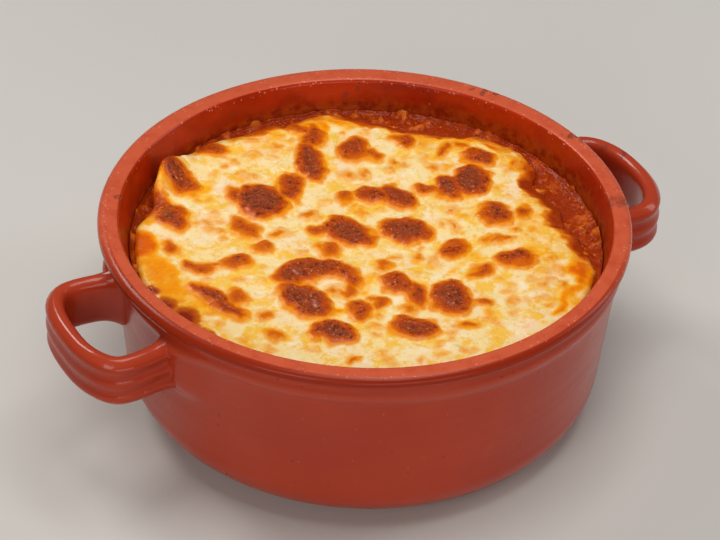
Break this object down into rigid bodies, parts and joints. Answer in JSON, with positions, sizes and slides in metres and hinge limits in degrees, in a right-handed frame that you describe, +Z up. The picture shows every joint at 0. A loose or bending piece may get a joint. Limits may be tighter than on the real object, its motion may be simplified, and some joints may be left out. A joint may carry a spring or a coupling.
{
  "type": "baked pasta in a clay dish",
  "caption": "Baked pasta in tomato and meat sauce under a blistered sheet of melted cheese, in its round glazed clay dish with two strap handles.",
  "frame": {"origin": "middle of the flat base, on the surface that the dish stands on", "axes": "+Z up; +X through the right-hand handle as seen from the front; +Y to the back"},
  "size_m": [0.2092, 0.169, 0.066],
  "materials": {
    "glazed_clay": "red-brown fired clay under a clear gloss glaze",
    "tomato_meat_sauce": "oily, lumpy, dark red-brown",
    "melted_cheese": "cream with golden stains and brown blisters, slightly oily"
  },
  "bodies": {
    "root": {"dish": "glazed_clay", "filling": "tomato_meat_sauce", "cheese": "melted_cheese"}
  },
  "joints": []
}
